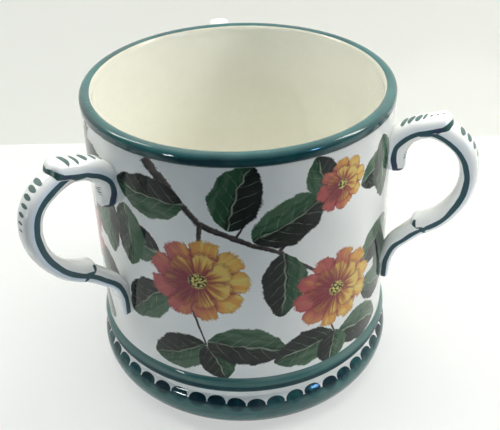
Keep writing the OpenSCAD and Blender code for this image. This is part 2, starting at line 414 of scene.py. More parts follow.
# Rings of petals: turn as a share of a petal, reach as a share of the blossom's radius, and depth of the
# notches between petals; and how many fewer petals the inner ring has
OUTER_RING = (0.0, 1.0, 0.2)
INNER_RING = (0.37, 0.66, 0.14)
INNER_FEWER = 2.0
HEART_RADIUS = 0.21


@once
def painted_blossom(name):
    """One open blossom in brushwork: two rings of petals, rose on one side and gold on the other."""
    tones = bpy.context.scene.glaze_colours
    bench, given, end, (x, y, _), (wobble, ragged, wash) = new_mark(name, "Petals")
    r = (x * x + y * y).op("SQRT")
    turn = y.op("ARCTAN2", x) / math.tau
    streak = bench.noise(bench.join(x / r * 7, y / r * 7, r * 1.4), 1, detail=2, rough=0.6)

    def petals(count, shift, reach, notch):
        """How far a spot is across its petal, and how far inside its edge."""
        across = abs((turn * count + shift + wobble * 0.7).op("FRACT") - 0.5) * 2
        edge = (across.op("POWER", 3.0) * -notch) + ragged * 0.16 + reach
        return across, edge - r

    across, inside = petals(given["Petals"], *OUTER_RING)
    cover = (inside * PETAL_EDGE).clamp()
    golden = (r * 0.5 + x * 0.55 - y * 0.1 + (streak - 0.5) * 0.9 + wash * 0.8).ease(-0.05, 0.75)
    body = bench.mix(golden, tones.rose, tones.gold)
    body = bench.mix((golden + (streak - 0.5) * 1.2).ease(0.85, 1.3), body, tones.straw)
    body = bench.mix(across.ease(0.72, 1.0) * 0.75, body, tones.crimson)
    body = bench.mix(inside.ease(0.14, 0.0) * 0.35, body, tones.crimson)

    across, inner = petals(given["Petals"] - INNER_FEWER, *INNER_RING)
    warm = (r * 0.9 + x * 0.5 + (streak - 0.5) * 1.1).ease(0.1, 0.8)
    second = bench.mix(warm, tones.crimson, tones.gold)
    second = bench.mix(warm.ease(0.5, 1.0) * 0.6, second, tones.straw)
    second = bench.mix(across.ease(0.66, 1.0) * 0.8, second, tones.crimson)
    shadow = inner.ease(-0.1, 0.0) * 0.45
    body = bench.mix(shadow, body, tones.crimson)
    body = bench.mix((inner * PETAL_EDGE).clamp(), body, second)

    heart = bench.mix(ragged.ease(-0.08, 0.08), tones.bark_dark, tones.straw)
    body = bench.mix(((r + ragged * 0.08).less(HEART_RADIUS) * LEAF_EDGE).clamp(), body, heart)
    lay(bench, end, given, cover, body)


@once
def painted_stem(name):
    """One stretch of stem in brushwork, thinner towards its end, with a lit and a dark side."""
    tones = bpy.context.scene.glaze_colours
    bench, given, end, (t, side, _), (wobble, teeth, _) = new_mark(name, "Taper")
    y = side + wobble * 0.8 + teeth * 0.6
    cover = (((t * given["Taper"]).less(1) - abs(y)) * STEM_EDGE).clamp() * t.within(0, 1, 0.01)
    grain = bench.noise(bench.join(t * 9, y * 1.4), 1, detail=3, rough=0.6)
    body = bench.mix((y * 0.4 + grain).ease(0.3, 0.75), tones.bark_dark, tones.bark)
    lay(bench, end, given, cover, body)


@once
def strap_dashes(name):
    """A row of brush dashes along a strap, each lens-shaped, slanted and a little different."""
    bench, given, end = new_group(
        name,
        {"Along": "value", "Across": "value", "From": "value", "To": "value", "Count": "value",
         "Crowd": "value", "First": "value", "Last": "value", "Slant": "value", "Length": "value",
         "Shift": "value"},
        {"Cover": "value"})
    reach = given["To"] - given["From"]
    share = ((given["Along"] - given["Across"] * given["Slant"] - given["From"]) / reach).clamp()
    step = share.op("POWER", given["Crowd"]) * given["Count"]
    number = step.op("FLOOR")
    middle = ((number + 0.5) / given["Count"]).op("POWER", given["Crowd"].op("POWER", -1.0))
    size = given["First"] + (given["Last"] - given["First"]) * middle
    luck = bench.wire(bench.node("TexWhiteNoise", None, number + 0.5, noise_dimensions="1D"))
    across = (given["Across"] + (luck - 0.5) * 0.9 + given["Shift"]) / (size * given["Length"])
    along = (share - middle) * reach / (size * (luck * 0.2 + 0.9))
    cover = (along * along + across * across).ease(1.15, 0.8)
    bench.feed(end.inputs["Cover"], cover * share.within(0, 1, 0.0005))


# Grain of the hand, of the brush's edge and of short strokes on the handles, per metre
LINE_GRAIN = 90
EDGE_GRAIN = 420
STROKE_GRAIN = 200
# In millimetres: softness of the line's edge, of its ends and of a stroke's edge, how far the line strays,
# and how far its halo reaches
LINE_SOFT = 0.22
LINE_END_SOFT = 0.8
STROKE_SOFT = 0.25
LINE_STRAY = 1.2
HALO_REACH = (4.2, 0.1)
# Shares of the line in which the brush is pressed at its start and at its end
PRESS_START = (0.34, 0.12)
PRESS_END = (0.74, 0.92)


@once
def strap_line(name):
    """The brushed line along the side of a strap, and the tint that bleeds from it."""
    bench, given, end = new_group(
        name,
        {"Place": "vector", "Spot": "vector", "From": "value", "To": "value", "Width": "value",
         "Start": "value", "Middle": "value", "End": "value", "Inward": "value", "Sway": "value"},
        {"Line": "value", "Halo": "value"})
    along, edge, _ = bench.split(given["Place"])
    hand = bench.noise(given["Spot"], LINE_GRAIN, 1) - 0.5
    fine = bench.noise(given["Spot"], EDGE_GRAIN, 2) - 0.5
    begun = along - given["From"]
    ended = along - given["To"]
    reach = begun.ease(-LINE_END_SOFT, LINE_END_SOFT) * ended.ease(LINE_END_SOFT, -LINE_END_SOFT)
    share = (begun / (given["To"] - given["From"])).clamp()
    press = share.ease(*PRESS_START) * given["Start"] + share.ease(*PRESS_END) * given["End"] + 1
    press = press + (share * math.pi).op("SINE") * given["Middle"]
    half = given["Width"] * (press + hand * 0.6) + fine * 0.25
    off = edge + hand * LINE_STRAY + given["Inward"] + share.ease(0.3, 0.6) * given["Sway"]
    bench.feed(end.inputs["Line"], (abs(off) - half).ease(LINE_SOFT, -LINE_SOFT) * reach)
    halo = (off - half).ease(*HALO_REACH) * off.ease(-0.6, 0.6) * reach
    bench.feed(end.inputs["Halo"], halo * (hand * 0.8 + 0.9))


@once
def strap_stroke(name):
    """One short brush stroke on the side of a strap, thinner towards its end."""
    bench, given, end = new_group(
        name,
        {"Place": "vector", "Spot": "vector", "From": "vector", "To": "vector", "Width": "value"},
        {"Cover": "value"})
    along, edge, _ = bench.split(given["Place"])
    hand = bench.noise(given["Spot"], STROKE_GRAIN, 1) - 0.5
    way = bench.node("VectorMath", given["To"], given["From"], operation="SUBTRACT")
    gone = bench.node("VectorMath", bench.join(along, edge), given["From"], operation="SUBTRACT")
    ahead = bench.node("VectorMath", gone.outputs[0], way.outputs[0], operation="DOT_PRODUCT")
    whole = bench.node("VectorMath", way.outputs[0], way.outputs[0], operation="DOT_PRODUCT")
    share = (bench.wire(ahead, "Value") / bench.wire(whole, "Value")).clamp()
    back = bench.node("VectorMath", way.outputs[0], operation="SCALE")
    bench.feed(back.inputs["Scale"], share)
    off = bench.node("VectorMath", gone.outputs[0], back.outputs[0], operation="DISTANCE")
    half = given["Width"] * (share * -0.35 + 1)
    cover = (bench.wire(off, "Value") + hand * 0.6 - half).ease(STROKE_SOFT, -STROKE_SOFT)
    bench.feed(end.inputs["Cover"], cover)


def new_material(name):
    """An empty node material and its bench."""
    material = bpy.data.materials.new(name)
    material.use_nodes = True
    material.node_tree.nodes.clear()
    return material, Bench(material.node_tree)


# How strongly glazes mirror the room: a plain one, the painted wall, and the brushed green
PLAIN_GLOSS = 0.5
WALL_GLOSS = 0.22
RIM_GLOSS = 0.45
FOOT_GLOSS = 0.24
BEAD_GLOSS = 0.1
GLAZE_IOR = 1.52
# Height of the glaze's swell in metres, and the tone of its mottle with its strength
SWELL_HEIGHT = 0.0006
MOTTLE_TONE = (0.35, 0.36, 0.34)
MOTTLE_STRENGTH = 0.06


def finish_glaze(bench, tint, spot, swell, pinholes, gloss=PLAIN_GLOSS, dull=0.0):
    """Glossy glaze of a colour: mottle, roughness and swell come from its skin, and dull roughens it."""
    skin = bench.group(glaze_skin(), Spot=spot, Swell=swell, Pinholes=pinholes)
    mottle = bench.wire(skin, "Mottle").ease(0.3, 0.7) * MOTTLE_STRENGTH
    shaded = bench.mix(mottle, tint, MOTTLE_TONE)
    raised = bench.node("Bump", 1.0, SWELL_HEIGHT)
    bench.feed(raised.inputs["Height"], bench.wire(skin, "Height"))
    shader = bench.node("BsdfPrincipled")
    bench.feed(shader.inputs["Base Color"], shaded)
    bench.feed(shader.inputs["Roughness"], bench.wire(skin, "Roughness") + dull)
    bench.feed(shader.inputs["Normal"], raised.outputs[0])
    shader.inputs["IOR"].default_value = GLAZE_IOR
    shader.inputs["Specular IOR Level"].default_value = gloss
    out = bench.node("OutputMaterial")
    bench.feed(out.inputs[0], shader.outputs[0])


# Turn of the front panel's middle, breadth of a panel, and the height of its middle in millimetres
PANEL_MIDDLE = math.radians(5)
PANEL_TURN = math.radians(120)
PANEL_HEIGHT = 108.0
# How far apart the panels lie in the grain, so that the brush differs from one to the next
PANEL_APART = 40
# Unsteadiness of the hand, as grain per millimetre and detail: wobble, ragged edges and washes
HAND_GRAINS = [(0.14, 1), (0.7, 2), (0.07, 2)]
# Brushwork on the wall, in millimetres from the middle of a panel
# Root, direction in degrees, length, half thickness and taper
STEMS = [
    (-66, 70, -50, 44, 3.7, 0.35),
    (-38, 37, -24, 46, 2.3, 0.4),
    (2, 19, -40, 34, 1.6, 0.4),
    (-38, 38, -96, 26, 1.6, 0.3),
    (2, 20, 42, 40, 1.3, 0.5),
    (-20, 30, 60, 10, 0.9, 0.4),
    (30, -30, -68, 20, 1.1, 0.4),
    (-46, -16, -74, 28, 1.0, 0.4),
]
# Root, direction, length, half width, bend and tone
BACK_LEAVES = [
    (-24, 34, 72, 40, 14, 0.5, 0.3),
    (-12, 28, 28, 46, 14, -0.6, 0.45),
    (-46, 47, 174, 42, 13, 0.5, 0.4),
    (30, 46, 108, 26, 10, 0.3, 0.4),
    (52, 44, 6, 34, 11, 0.5, 0.65),
    (-62, 14, 166, 30, 12, 0.4, 0.5),
    (-58, -8, 224, 40, 13, -0.5, 0.45),
    (4, 18, -92, 42, 13, 0.6, 0.3),
    (56, -10, 26, 36, 12, 0.4, 0.6),
    (58, -26, -18, 34, 12, -0.5, 0.7),
    (72, 64, -84, 40, 11, 0.4, 0.85),
    (-84, 38, -88, 40, 11, 0.5, 0.8),
    (84, 6, -100, 38, 11, 0.4, 0.8),
]
FRONT_LEAVES = [
    (-39, -42, 206, 36, 13, 0.5, 0.45),
    (-38, -43, -68, 26, 11, 0.3, 0.3),
    (-38, -41, -10, 46, 14, 0.5, 0.4),
    (38, -49, 190, 40, 13, -0.5, 0.4),
    (39, -50, -14, 42, 13, 0.5, 0.5),
    (37, -46, -100, 24, 11, 0.3, 0.4),
]
# Middle, direction, radius across and up, and petals
BLOSSOMS = [
    (-41, 1, 20, 29, 27, 9),
    (37, -16, -12, 28, 26, 10),
    (38, 50, 30, 17, 15, 8),
]


def brush_marks(tree, rows, *labels):
    """Brush marks of one kind: root, direction, length and half width, and the kind's own labelled values."""
    for x, y, turn, size, half, *own in rows:
        values = dict(zip(labels, own))
        values.update(Root=(x, y, 0), Turn=(0, 0, math.radians(turn)), Size=(size, half, 1))
        yield tree, values


def painted_wall():
    """White glaze with a spray of flowers in each of the three panels between the handles."""
    tones = bpy.context.scene.glaze_colours
    sizes = bpy.context.scene.cup_sizes
    material, bench = new_material("painted_white_glaze")
    spot = bench.object_place()
    place = bench.group(round_place(), Spot=spot)
    sweep = bench.wire(place, "Turn") - (PANEL_MIDDLE - PANEL_TURN / 2)
    panel = (sweep / PANEL_TURN).op("FLOOR")
    local = sweep - panel * PANEL_TURN - PANEL_TURN / 2
    flip = abs(panel).ease(0.4, 0.6) * -2 + 1
    x = local * flip * (sizes.wall_radius / MM)
    sheet = bench.join(x, bench.wire(place, "Height") - PANEL_HEIGHT, panel * PANEL_APART)
    hand = bench.join(*[bench.noise(sheet, grain, detail) - 0.5 for grain, detail in HAND_GRAINS])
    paint = tones.white
    marks = [*brush_marks(painted_stem(), STEMS, "Taper"),
             *brush_marks(painted_leaf(), BACK_LEAVES, "Bend", "Tone"),
             *brush_marks(painted_blossom(), BLOSSOMS, "Petals"),
             *brush_marks(painted_leaf(), FRONT_LEAVES, "Bend", "Tone")]
    for tree, values in marks:
        mark = bench.group(tree, Under=paint, Spot=sheet, Hand=hand, **values)
        paint = bench.wire(mark, "Paint")
        sheet = bench.wire(mark, "Next")
    finish_glaze(bench, paint, spot, swell=0.5, pinholes=0.5, gloss=WALL_GLOSS)
    return material


def plain_glaze(name, tint):
    """Glaze of one colour, with nothing painted on it."""
    material, bench = new_material(name)
    finish_glaze(bench, tint, bench.object_place(), swell=0.5, pinholes=1.0)
    return material


def green_glaze(name, crest, gloss):
    """Brushed green; crest gives from the height in millimetres how thin the glaze is, which on the bead also
    paints sheen and shade.
    """
    material, bench = new_material(name)
    spot = bench.object_place()
    place = bench.group(round_place(), Spot=spot)
    coat = bench.group(brushed_green(), Spot=spot, Thin=crest(bench.wire(place, "Height")))
    finish_glaze(bench, bench.wire(coat), spot, swell=0.35, pinholes=0.6, gloss=gloss)
    return material


# Rim, in millimetres below its top: where the glaze thins and takes a painted sheen, where the cream inside
# turns to the wiped lip, and where it lies under the roll
RIM_CREST = (3.0, 0.6)
RIM_LIP = (3.2, 1.6)
RIM_UNDER = (2.4, 2.7)
# Over its lower edge, where the glaze pools and is painted darker as painted shade
RIM_POOL_AND_SHADE = (1.9, 0.4)
# Out from its inner face, where the green is wiped off, and how far the cream reaches under the roll
RIM_WIPE = (1.35, 0.95)
RIM_INSIDE = (3.0, 2.8)
# How thin the glaze is on the crest, where it is painted lighter as thin glaze and painted sheen, and the
# grain of the wiping hand, per metre
RIM_THIN_AND_SHEEN = 0.28
WIPE_GRAIN = 45


def rim_glaze(low, high, inner):
    """Brushed green over the roll, ending inside the crest, where the cream glaze takes over; lighter on the
    crest as thin glaze and painted sheen, darker at the lower edge as pooled glaze and painted shade.
    """
    tones = bpy.context.scene.glaze_colours
    material, bench = new_material("rim_green_glaze")
    spot = bench.object_place()
    place = bench.group(round_place(), Spot=spot)
    height = bench.wire(place, "Height")
    depth = height.less(high)
    out = bench.wire(place, "Radius") - inner
    hand = bench.noise(spot, WIPE_GRAIN, 2) - 0.5
    # Crest painted lighter (thin glaze and painted sheen), lower edge painted darker (pooled glaze and
    # painted shade)
    crest = depth.ease(*RIM_CREST) * RIM_THIN_AND_SHEEN - (height - low).ease(*RIM_POOL_AND_SHADE)
    coat = bench.group(brushed_green(), Spot=spot, Thin=crest)
    wiped = (out + hand * 0.5).ease(*RIM_WIPE)
    under = depth.ease(*RIM_UNDER) * out.ease(*RIM_INSIDE)
    bare = bench.mix(depth.ease(*RIM_LIP), tones.cream, tones.lip)
    tint = bench.mix(wiped.op("MAXIMUM", under), bench.wire(coat), bare)
    finish_glaze(bench, tint, spot, swell=0.35, pinholes=0.6, gloss=RIM_GLOSS)
    return material


# Height of the broadest part of the dabs, their half breadth, and their reach above and below it, all in
# millimetres
DAB_HEIGHT = 23.0
DAB_HALF = 5.6
DAB_RISE = 3.3
DAB_FALL = 5.6
# Turn of the row, and how much higher the dabs stand away from the front, past these turns in radians
DAB_SHIFT = math.radians(1.0)
DAB_LIFT = 1.4
FRONT_TURNS = (0.05, 0.3)
# Top edge of the green, the heights where it runs thin with their softness, and how thin it is there
GREEN_TOP = (23.0, 22.3)
THIN_BELLY = (9, 20.5, 2)
BELLY_THIN = 0.36
# Grain of the dabs' brush, per metre, on the cup's three axes, of their edges, and of the waves in the green
DAB_GRAIN = (300, 300, 90)
DAB_EDGE_GRAIN = 260
WAVE_GRAIN = 60


def foot_glaze():
    """Green foot with a white shoulder, where a row of dark round dabs stands on the green."""
    tones = bpy.context.scene.glaze_colours
    sizes = bpy.context.scene.cup_sizes
    material, bench = new_material("dabbed_green_glaze")
    spot = bench.object_place()
    place = bench.group(round_place(), Spot=spot)
    turn = bench.wire(place, "Turn")
    height = bench.wire(place, "Height") - abs(turn).ease(*FRONT_TURNS) * DAB_LIFT
    dab_pitch = math.tau * FOOT_HIGH.x / MM / sizes.dabs
    step = (turn - DAB_SHIFT) / math.tau * sizes.dabs
    number = step.op("FLOOR")
    which = number.op("FLOORED_MODULO", float(sizes.dabs)) + 0.5
    luck = bench.wire(bench.node("TexWhiteNoise", None, which, noise_dimensions="1D"))
    hand = bench.noise(spot, DAB_EDGE_GRAIN, 2) - 0.5
    wave = bench.noise(spot, WAVE_GRAIN, 2) - 0.5
    x = ((step - number - 0.5) * dab_pitch + (luck - 0.5) * 0.6) / DAB_HALF
    z = height - DAB_HEIGHT - (luck - 0.5) * 0.5
    y = z.op("MAXIMUM", 0.0) / DAB_RISE - z.op("MINIMUM", 0.0) / DAB_FALL
    inside = ((x * x + y * y).op("SQRT") + hand * 0.08).less(1)
    dab = (inside / (z.ease(0.2, -2.0) * 0.3 + 0.05)).clamp()
    band = (height + wave * 0.7).ease(*GREEN_TOP)
    coat = bench.group(brushed_green(), Spot=spot, Thin=height.within(*THIN_BELLY) * BELLY_THIN)
    brush = bench.noise(bench.stretch(spot, *DAB_GRAIN), 1, 2)
    ink = bench.mix((brush + (luck - 0.5) * 0.5).ease(0.4, 0.9) * 0.6, tones.navy, tones.green)
    ink = bench.mix(inside.ease(0.25, 0.05) * 0.6, ink, tones.navy)
    ink = bench.mix((z + wave * 1.5).ease(-0.8, -5.0) * 0.8, ink, tones.green)
    tint = bench.mix(band, tones.white, bench.wire(coat))
    tint = bench.mix(dab, tint, ink)
    finish_glaze(bench, tint, spot, swell=0.35, pinholes=0.6, gloss=FOOT_GLOSS)
    return material


# For each strap, the line on its sides: its start, its end from the strap's far end, its half width, and how
# much harder the brush is pressed at its start, middle and end
STRAP_LINES = {
    "scroll": (-6, 2, 1.2, 0.0, 0.0, 0.15),
    "grip": (-2, 0, 1.2, 0.0, 0.3, 0.1),
    "tail": (-4, -1.5, 1.1, 0.0, 0.1, 0.1),
}
# Short strokes that leave the line: 0 or 1 for places told from the strap's near or far end, then the place
# along and off the side line where each starts and ends, and its half width
STRAP_STROKES = {
    "scroll": [(0, -2.4, 0, -2.6, -4.6, 1.5), (0, 29, -1.5, 42, -5.2, 1.45), (1, 0.2, 1.0, -8, -1.6, 1.6)],
    "grip": [(1, -2.4, -0.4, -3.6, -5.8, 1.3)],
    "tail": [(0, 5.8, 0, 5.4, 3.2, 1.3)],
}
# How broad the line is on each handle
LINE_BREADTH = {"left": 1.12, "right": 1.12, "back": 1.05}
# How far the line lies inward on each strap, and how much further past its middle
LINE_SHIFT = {
    "scroll": {"left": (-0.3, 1.8), "right": (-0.3, 1.1), "back": (-0.3, 1.2)},
    "grip": {"left": (-0.3, 0.6), "right": (1.7, -2.4), "back": (0.8, -1.0)},
    "tail": {"left": (0.0, 0.0), "right": (-0.7, 0.7), "back": (0.0, 0.0)},
}
# How much harder the brush is pressed on the tongue of each handle
TONGUE_PRESS = {"left": 0.6, "right": 0.15, "back": 0.4}
# Strength of the line's halo on each handle, and the share of it that a scroll has; the halo is the line's
# bleed, and the left handle's stronger halo is also painted shade on its shaded side
HALO_AND_SHADE_STRENGTH = {"left": 0.6, "right": 0.34, "back": 0.5}
SCROLL_HALO = 0.7
# Where the scroll's line is pooled, from its start and before its end, and where it ends in the dashes' green
POOLED_START = (10, 4)
POOLED_END = (14, 8)
GREEN_END = (6.5, 3)
# Strength of a dash, and how far off the side line a face of the strap begins
DASH_STRENGTH = 0.94
FACE_START = (2.6, 3.4)
# Roughness that a dash and the line add to the glaze
DASH_DULL = 0.4
LINE_DULL = 0.3
# Rows of dashes: which face, first and last place, count, crowding, size of the first and the last, slant,
# length over thickness, and how far the row lies off the middle of the face
STRAP_DASHES = {
    "left_scroll": [(1, 21.5, 43.8, 5, 0.72, 0.8, 2.0, -0.12, 2.9, -1.0),
                    (-1, 3.5, 14, 4, 1, 0.8, 0.9, 0.2, 2.4, -2.2)],
    "left_grip": [(1, 21.2, 46.2, 7, 1, 1.4, 0.5, 0.05, 2.9, -0.5)],
    "right_scroll": [(1, 22, 34, 4, 1, 1.3, 1.2, 0.25, 2.6, 0.8),
                     (1, 34.4, 44, 3, 1, 0.8, 0.5, 0.1, 1.4, 0.6),
                     (-1, 4, 14, 4, 1, 0.8, 0.9, -0.2, 2.4, 2)],
    "right_grip": [(1, 19.4, 43.5, 6, 1, 1.6, 0.75, -0.1, 2.5, 0)],
    "back_scroll": [(1, 20, 35, 5, 1, 1.0, 0.4, 0.3, 3.2, 0), (-1, 5, 13, 3, 1, 0.5, 0.8, -0.2, 2.7, 0)],
    "back_grip": [(1, 20, 42, 6, 1, 1.3, 0.45, -0.15, 3.2, 0)],
}


def strap_glaze(hand, strap, run):
    """White glaze with the line along the sides of a strap of the given run, and the dashes on its faces."""
    tones = bpy.context.scene.glaze_colours
    material, bench = new_material(f"{hand}_{strap}_glaze")
    spot = bench.object_place()
    place = bench.wire(bench.node("Attribute", attribute_name="strap_place"), "Vector")
    along, edge, across = bench.split(place)
    start, stop, width, press, middle, lift = STRAP_LINES[strap]
    inward, sway = LINE_SHIFT[strap][hand]
    # Halo strength per handle: bleed of the line, with painted shade where a handle's side lies in shade
    halo = HALO_AND_SHADE_STRENGTH[hand]
    if strap == "scroll":
        press += TONGUE_PRESS[hand]
        halo *= SCROLL_HALO
    line = bench.group(strap_line(), Place=place, Spot=spot, From=start, To=run + stop,
                       Width=width * LINE_BREADTH[hand], Start=press, Middle=middle, End=lift,
                       Inward=inward, Sway=sway)
    # The handles' white is painted lighter than the wall's, as painted light
    tint = bench.mix(bench.wire(line, "Halo") * halo, tones.handle_white, tones.halo)
    covers = []
    for row in STRAP_DASHES.get(f"{hand}_{strap}", []):
        face, first, last, count, crowd, near, far, slant, stretch, shift = row
        dashes = bench.group(strap_dashes(), Along=along, Across=across, From=first, To=last, Count=count,
                             Crowd=crowd, First=near, Last=far, Slant=slant, Length=stretch, Shift=shift)
        cover = bench.wire(dashes) * (edge * face).ease(*FACE_START)
        tint = bench.mix(cover * DASH_STRENGTH, tint, tones.dash)
        covers.append(cover)
    drawn = bench.wire(line, "Line")
    for base, first, first_off, last, last_off, breadth in STRAP_STROKES[strap]:
        stroke = bench.group(strap_stroke(), Place=place, Spot=spot, From=(base * run + first, first_off, 0),
                             To=(base * run + last, last_off, 0), Width=breadth)
        drawn = drawn.op("MAXIMUM", bench.wire(stroke))
    ink = tones.line
    if strap == "scroll":
        ahead = along.less(run)
        pooled = along.ease(*POOLED_START).op("MAXIMUM", ahead.ease(*POOLED_END))
        ink = bench.mix(pooled, ink, tones.line_ends)
        ink = bench.mix(ahead.ease(*GREEN_END), ink, tones.dash)
    tint = bench.mix(drawn, tint, ink)
    dull = drawn * LINE_DULL
    for cover in covers:
        dull = dull.op("MAXIMUM", cover * DASH_DULL)
    finish_glaze(bench, tint, spot, swell=0.5, pinholes=0.6, dull=dull)
    return material


# Meshes

# Steps of a full turn on the wheel
TURN_STEPS = 224
# Size of a primitive before it is shaped
START = 0.001
# How close points lie that become one, on turned pieces and on straps
TURNED_MERGE = 0.000002
STRAP_MERGE = 0.00002
# Edges flatter than this are shaded smooth
SMOOTH_ANGLE = math.radians(50)


def primitive(kind, **values):
    """Adds a primitive with nothing else selected."""
    bpy.ops.object.select_all(action="DESELECT")
    getattr(bpy.ops.mesh, f"primitive_{kind}_add")(**values)
    bpy.ops.object.transform_apply(location=True, rotation=True, scale=True)
    return bpy.context.object


def turned(name, outline):
    """Turns an outline of radius and height about the cup's axis, as on a wheel."""
    radius, height = outline[0]
    piece = primitive("plane", size=START, location=(radius, 0, height))
    piece.name = name
    bpy.ops.object.mode_set(mode="EDIT")
    bpy.ops.mesh.select_all(action="SELECT")
    bpy.ops.mesh.merge(type="CENTER")
    for (r0, z0), (r1, z1) in zip(outline, outline[1:]):
        bpy.ops.mesh.extrude_region_move(TRANSFORM_OT_translate={"value": (r1 - r0, 0, z1 - z0)})
    bpy.ops.mesh.select_all(action="SELECT")
    bpy.ops.mesh.spin(steps=TURN_STEPS, angle=math.tau, center=(0, 0, 0), axis=(0, 0, 1))
    bpy.ops.mesh.select_all(action="SELECT")
    bpy.ops.mesh.remove_doubles(threshold=TURNED_MERGE)
    bpy.ops.mesh.normals_make_consistent(inside=False)
    bpy.ops.object.mode_set(mode="OBJECT")
    bpy.ops.object.shade_smooth_by_angle(angle=SMOOTH_ANGLE)
    return piece


def arc(centre, radius, first, last, steps):
    """Points of an arc in the outline's plane, angles in degrees from the outward direction."""
    points = []
    for i in range(steps + 1):
        a = math.radians(first + (last - first) * i / steps)
        points.append((centre[0] + radius * math.cos(a), centre[1] + radius * math.sin(a)))
    return points


def dress(piece, slot, node, *materials):
    """Gives a piece its materials and its place on the cup, and hides the solid that it stands for."""
    for material in materials:
        piece.data.materials.append(material)
    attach(piece, BODY)
    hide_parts(node)


class CupOperator(bpy.types.Operator):
    """Shared settings of the cup's operators."""
    bl_options = {"REGISTER", "UNDO"}


# Rings up the wall
WALL_RINGS = 24


class CUP_OT_wall(CupOperator):
    """Turn the straight wall, painted outside and cream inside"""
    bl_idname = "cup.wall"
    bl_label = "Wall"

    def execute(self, context):
        sizes = context.scene.cup_sizes
        low, high = WALL_LOW.z, WALL_HIGH.z
        rise = [low + (high - low) * i / WALL_RINGS for i in range(WALL_RINGS + 1)]
        outline = [(sizes.wall_radius, z) for z in rise]
        outline += [(sizes.inner_radius, z) for z in reversed(rise)]
        piece = turned("cup_wall_glazed", outline + outline[:1])
        dress(piece, "white_glaze", "cup_wall", painted_wall(),
              plain_glaze("cream_inside_glaze", context.scene.glaze_colours.cream))
        middle = (sizes.wall_radius + sizes.inner_radius) / 2
        for face in piece.data.polygons:
            face.material_index = int(math.hypot(face.center.x, face.center.y) < middle)
        return {"FINISHED"}


class CUP_OT_base(CupOperator):
    """Turn the base slab with its cove"""
    bl_idname = "cup.base"
    bl_label = "Base slab"

    def execute(self, context):
        sizes = context.scene.cup_sizes
        low = SLAB_LOW.z
        top = low + sizes.slab_thickness
        edge = sizes.inner_radius
        cove = sizes.cove_radius
        outline = [(0, low), (edge / 2, low), (edge, low), (edge, top + cove)]
        outline += arc((edge - cove, top + cove), cove, 0, -90, 12)[1:]
        outline += [(edge / 2, top), (0, top)]
        piece = turned("base_slab_glazed", outline)
        dress(piece, "cream_glaze", "base_slab",
              plain_glaze("cream_floor_glaze", context.scene.glaze_colours.cream))
        return {"FINISHED"}


# Most that the rim's round may take of its breadth and of its height
RIM_SHARE = 0.48


class CUP_OT_rim(CupOperator):
    """Turn the rolled green rim"""
    bl_idname = "cup.rim"
    bl_label = "Rim"

    def execute(self, context):
        sizes = context.scene.cup_sizes
        inner, outer = sizes.inner_radius - sizes.rim_inset, RIM_HIGH.x
        low, high = RIM_LOW.z, RIM_HIGH.z
        heel = sizes.rim_heel
        top = min(sizes.rim_round, (outer - inner) * RIM_SHARE, (high - low) * RIM_SHARE)
        outline = arc((outer - heel, low + heel), heel, -90, 0, 6)
        outline += arc((outer - top, high - top), top, 0, 90, 14)
        outline += arc((inner + top, high - top), top, 90, 180, 14)
        outline += [(sizes.inner_radius, low)]
        piece = turned("rim_roll_glazed", outline + outline[:1])
        dress(piece, "green_glaze", "rim_roll", rim_glaze(low / MM, high / MM, inner / MM))
        return {"FINISHED"}


# How far the bead reaches into the wall
BEAD_SUNK = 0.0004
# In millimetres from the bead's fullest point, where its glaze pools and is painted darker as painted shade,
# with its softness, and where it runs thin above and is painted lighter as painted sheen; and over its lower
# edge, where it runs thin below and is painted lighter as painted light from the floor
BEAD_POOL_AND_SHADE = (-0.8, 1.2, 0.6)
BEAD_UPPER_THIN_AND_SHEEN = (1.2, 3.2)
BEAD_LOWER_THIN_AND_LIGHT = (1.6, 0.8)


class CUP_OT_bead(CupOperator):
    """Turn the bead near the foot, fullest below its middle"""
    bl_idname = "cup.bead"
    bl_label = "Base bead"

    def execute(self, context):
        sizes = context.scene.cup_sizes
        wall = sizes.wall_radius
        low, high = BEAD_LOW.z, BEAD_HIGH.z
        sunk = wall - BEAD_SUNK
        proud, belly = BEAD_HIGH.x - wall, sizes.bead_belly
        rise = high - low - belly
        lower = (belly * belly + proud * proud) / (2 * proud)
        upper = (rise * rise + proud * proud) / (2 * proud)
        full = wall + proud
        outline = [(sunk, low)]
        low_angle = 2 * math.degrees(math.atan(proud / belly))
        top_angle = 2 * math.degrees(math.atan(proud / rise))
        outline += arc((full - lower, low + belly), lower, -low_angle, 0, 10)
        outline += arc((full - upper, low + belly), upper, 0, top_angle, 14)[1:]
        outline += [(sunk, high), (sunk, low)]
        piece = turned("base_bead_glazed", outline)
        foot, crest = low / MM, (low + belly) / MM

        def thin(z):
            """Lighter on the upper slope and at the lower edge, darker about the fullest point: thin and
            pooled glaze, with painted sheen, painted floor light and painted shade.
            """
            over = z - crest
            thinned = over.ease(*BEAD_UPPER_THIN_AND_SHEEN) * 0.72 + (z - foot).ease(*BEAD_LOWER_THIN_AND_LIGHT) * 0.3
            return thinned - over.within(*BEAD_POOL_AND_SHADE) * 0.8

        dress(piece, "green_glaze", "base_bead", green_glaze("bead_green_glaze", thin, BEAD_GLOSS))
        return {"FINISHED"}


# Angle at which the cove of the foot meets the wall, and how far the foot reaches into it
COVE_ANGLE = math.radians(18)
FOOT_SUNK = 0.0003
# Bevel on the inner edge of the ring that the cup stands on
RING_BEVEL = 0.0006


